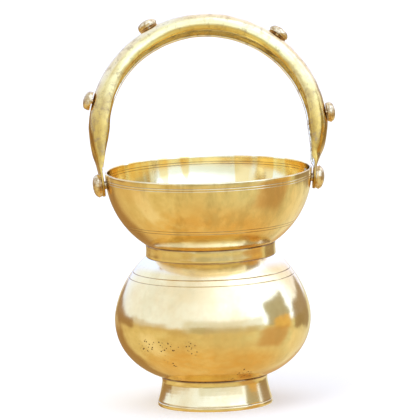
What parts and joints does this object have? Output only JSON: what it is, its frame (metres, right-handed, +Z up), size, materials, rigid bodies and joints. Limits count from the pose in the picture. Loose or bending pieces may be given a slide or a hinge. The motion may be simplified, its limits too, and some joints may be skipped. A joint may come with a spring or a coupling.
{
  "type": "lota water pot",
  "caption": "Brass water pot with a wide bowl mouth, a short neck, a round bulb, a foot ring and a riveted bail handle that swings over the mouth.",
  "frame": {"origin": "centre of the foot ring's resting plane", "axes": "+Z up; the handle turns about X through its two rivets; -Y is the front, and at rest the handle leans back towards +Y"},
  "size_m": [0.1585, 0.13, 0.2431],
  "materials": {
    "spun_brass": "polished, fine lathe lines",
    "handle_brass": "hand-polished sheet with soft dents and dark patina in its folds",
    "rivet_brass": "hammered heads with brown patina",
    "washer_brass": "dull sheet washers"
  },
  "bodies": {
    "pot": {"upper_bowl": "spun_brass", "neck_collar": "spun_brass", "bulb": "spun_brass", "foot_ring": "spun_brass"},
    "bail": {"handle": "handle_brass", "pivot_rivet_left": "rivet_brass", "inner_burr_left": "washer_brass", "spacer_washer_left": "washer_brass", "pivot_rivet_right": "rivet_brass", "inner_burr_right": "washer_brass", "spacer_washer_right": "washer_brass", "handle_stud_right": "rivet_brass", "stud_burr_right": "washer_brass", "handle_stud_upper_right": "rivet_brass", "stud_burr_upper_right": "washer_brass", "handle_stud_upper_left": "rivet_brass", "stud_burr_upper_left": "washer_brass", "handle_stud_left": "rivet_brass", "stud_burr_left": "washer_brass"}
  },
  "joints": [
    {"name": "bail_swing", "type": "hinge", "parent": "pot", "child": "bail", "pos_m": [0, 0, 0.1408], "axis": [1, 0, 0], "range_deg": [-112, 154]}
  ]
}
